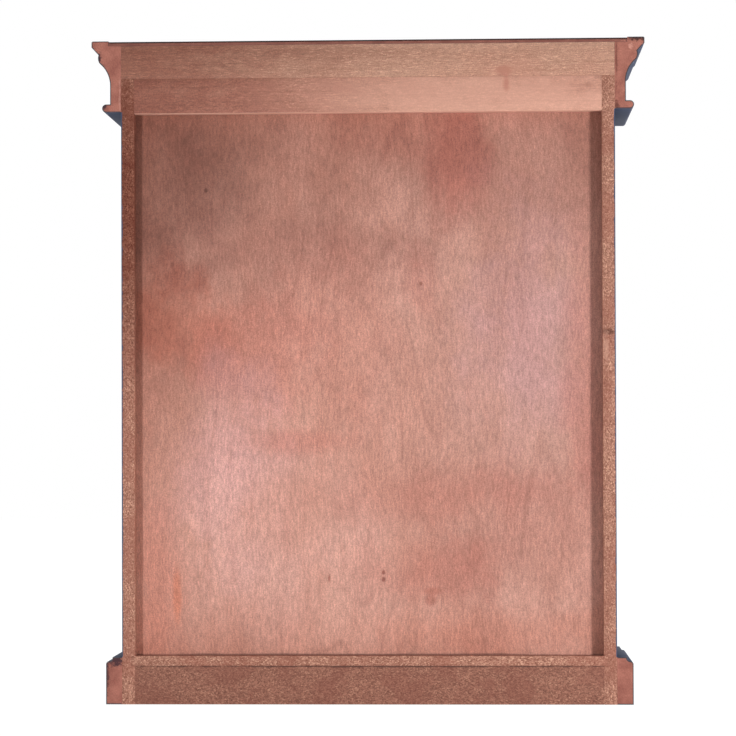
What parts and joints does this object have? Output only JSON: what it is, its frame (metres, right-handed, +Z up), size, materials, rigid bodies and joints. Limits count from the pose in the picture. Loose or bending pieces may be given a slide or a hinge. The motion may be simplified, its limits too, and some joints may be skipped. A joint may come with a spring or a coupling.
{
  "type": "medicine cabinet",
  "caption": "Wall-hung cabinet with crown and base mouldings, two bevelled mirror doors on butt hinges, and loose shelves on pins behind them.",
  "frame": {"origin": "middle of the cabinet's width and of its depth with the knobs, at the underside of the base", "axes": "+X to the right of a person facing the doors, +Y from the doors to the wall, +Z up"},
  "size_m": [0.681, 0.2126, 0.818],
  "materials": {
    "painted_wood": "slate blue-grey satin paint on show faces, raw reddish wood at the rear",
    "raw_solid_wood": "raw solid wood with a reddish stain mist",
    "raw_particle_board": "raw particle board, speckled, with a reddish stain mist",
    "plywood": "raw rotary-cut veneer with blotched reddish stain",
    "mirror_glass": "silvered, bevelled",
    "hardboard": "smooth dense board",
    "satin_nickel": "satin nickel",
    "bright_plate": "zinc plated",
    "shelf_pin_steel": "nickel plated",
    "catch_plastic": "moulded",
    "catch_magnet": "sintered",
    "bumper_rubber": "soft, translucent"
  },
  "bodies": {
    "cabinet": {"back_panel": "plywood", "base_back_rail": "raw_particle_board", "base_moulding_front": "painted_wood", "base_moulding_left": "painted_wood", "base_moulding_right": "painted_wood", "bottom_face_rail": "painted_wood", "catch_housings": "catch_plastic", "catch_magnets": "catch_magnet", "ceiling_panel": "painted_wood", "crown_front": "painted_wood", "crown_left": "painted_wood", "crown_right": "painted_wood", "floor_panel": "painted_wood", "hanging_rail": "raw_solid_wood", "left_face_stile": "painted_wood", "left_hinge_frame_leaves": "satin_nickel", "left_hinge_pins": "satin_nickel", "left_side_panel": "painted_wood", "lower_shelf": "painted_wood", "right_face_stile": "painted_wood", "right_hinge_frame_leaves": "satin_nickel", "right_hinge_pins": "satin_nickel", "right_side_panel": "painted_wood", "shelf_pins": "shelf_pin_steel", "top_board": "painted_wood", "top_face_rail": "painted_wood", "upper_back_rail": "raw_solid_wood", "upper_front_rail": "painted_wood", "upper_shelf": "painted_wood"},
    "left_door": {"left_door_backing_board": "hardboard", "left_door_bottom_rail": "painted_wood", "left_door_bumpers": "bumper_rubber", "left_door_hinge_stile": "painted_wood", "left_door_knob": "satin_nickel", "left_door_meeting_stile": "painted_wood", "left_door_mirror": "mirror_glass", "left_door_mirror_clips": "bright_plate", "left_door_strike_plate": "bright_plate", "left_door_top_rail": "painted_wood", "left_hinge_door_leaves": "satin_nickel"},
    "right_door": {"right_door_backing_board": "hardboard", "right_door_bottom_rail": "painted_wood", "right_door_bumpers": "bumper_rubber", "right_door_hinge_stile": "painted_wood", "right_door_knob": "satin_nickel", "right_door_meeting_stile": "painted_wood", "right_door_mirror": "mirror_glass", "right_door_mirror_clips": "bright_plate", "right_door_strike_plate": "bright_plate", "right_door_top_rail": "painted_wood", "right_hinge_door_leaves": "satin_nickel"}
  },
  "joints": [
    {"name": "left_door_hinge", "type": "hinge", "parent": "cabinet", "child": "left_door", "pos_m": [-0.3069, -0.0625, 0.394], "axis": [0, 0, -1], "range_deg": [0, 180]},
    {"name": "right_door_hinge", "type": "hinge", "parent": "cabinet", "child": "right_door", "pos_m": [0.3069, -0.0625, 0.394], "axis": [0, 0, 1], "range_deg": [0, 180]}
  ]
}
